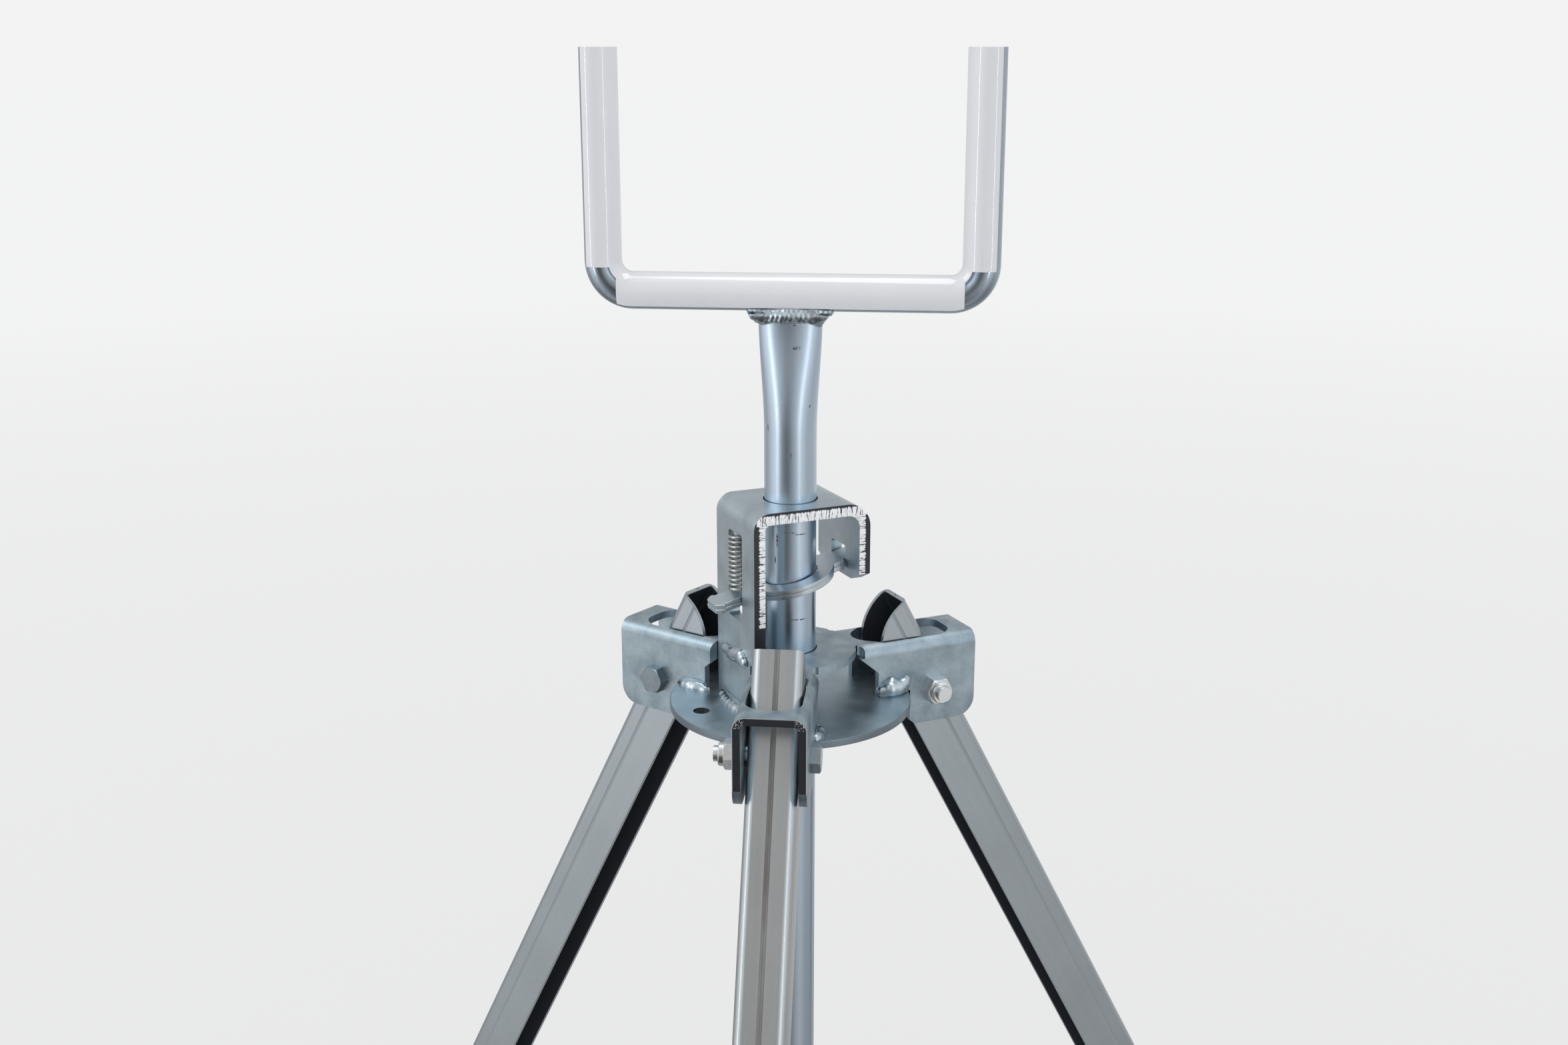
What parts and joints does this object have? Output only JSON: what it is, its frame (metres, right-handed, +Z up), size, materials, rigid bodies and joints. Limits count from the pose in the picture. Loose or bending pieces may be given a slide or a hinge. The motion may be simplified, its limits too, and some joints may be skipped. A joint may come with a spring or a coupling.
{
  "type": "tripod support stand",
  "caption": "Folding tripod stand with a height-adjustable pole and a padded U-shaped fork that holds pipes, boards or bars level beside a machine.",
  "frame": {"origin": "on the floor, at the centre of the three feet's bounding rectangle; the pole's axis is 0.099 m behind it", "axes": "+Z up along the pole, -Y along the front leg, +X to the right along the fork"},
  "size_m": [0.753, 0.6536, 0.9945],
  "materials": {
    "disc_zinc": "satin",
    "hub_zinc": "satin",
    "bracket_zinc": "satin",
    "tube_zinc": "polished",
    "leg_zinc": "satin",
    "weld_metal": "polished",
    "fastener_zinc": "polished",
    "spring_steel": "polished",
    "white_plastic": "gloss",
    "black_rubber": "matte"
  },
  "bodies": {
    "hub": {"base_disc": "disc_zinc", "spider": "hub_zinc", "hub_welds": "weld_metal", "lock_bracket": "bracket_zinc", "lock_spring": "spring_steel", "pivot_bolt_front": "fastener_zinc", "pivot_bolt_right": "fastener_zinc", "pivot_bolt_left": "fastener_zinc", "pivot_nut_front": "fastener_zinc", "pivot_nut_right": "fastener_zinc", "pivot_nut_left": "fastener_zinc", "pivot_sleeve_front": "fastener_zinc", "pivot_sleeve_right": "fastener_zinc", "pivot_sleeve_left": "fastener_zinc"},
    "front_leg": {"leg_front": "leg_zinc", "foot_front": "black_rubber"},
    "right_leg": {"leg_right": "leg_zinc", "foot_right": "black_rubber"},
    "left_leg": {"leg_left": "leg_zinc", "foot_left": "black_rubber"},
    "lever": {"lock_plate_upper": "bracket_zinc", "lock_plate_lower": "bracket_zinc"},
    "slider": {"stop_washer": "fastener_zinc"},
    "head": {"pole": "tube_zinc", "fork": "tube_zinc", "fork_weld": "weld_metal", "fork_liner": "white_plastic", "pole_end_plug": "black_rubber", "stop_pin": "fastener_zinc"}
  },
  "joints": [
    {"name": "leg_fold_front", "type": "hinge", "parent": "hub", "child": "front_leg", "pos_m": [0, 0.00199, 0.576], "axis": [1, 0, 0], "range_deg": [0, 28.2]},
    {"name": "leg_fold_right", "type": "hinge", "parent": "hub", "child": "right_leg", "pos_m": [0.084, 0.14749, 0.576], "axis": [-0.5, 0.866, 0], "range_deg": [0, 28.2]},
    {"name": "leg_fold_left", "type": "hinge", "parent": "hub", "child": "left_leg", "pos_m": [-0.084, 0.14749, 0.576], "axis": [-0.5, -0.866, 0], "range_deg": [0, 28.2]},
    {"name": "lock_lever", "type": "hinge", "parent": "hub", "child": "lever", "pos_m": [0.03343, 0.11829, 0.6694], "axis": [-0.5, 0.866, 0], "range_deg": [0, 8], "stiffness_Nm_per_rad": 8, "springref_deg": -8.02, "deforming": ["lock_spring"]},
    {"name": "pole_slide", "type": "slide", "parent": "hub", "child": "slider", "axis": [0, 0, 1], "range_m": [-0.04, 0.415]},
    {"name": "pole_swivel", "type": "hinge", "parent": "slider", "child": "head", "pos_m": [0, 0.09899, 0.6], "axis": [0, 0, 1], "continuous": true}
  ]
}
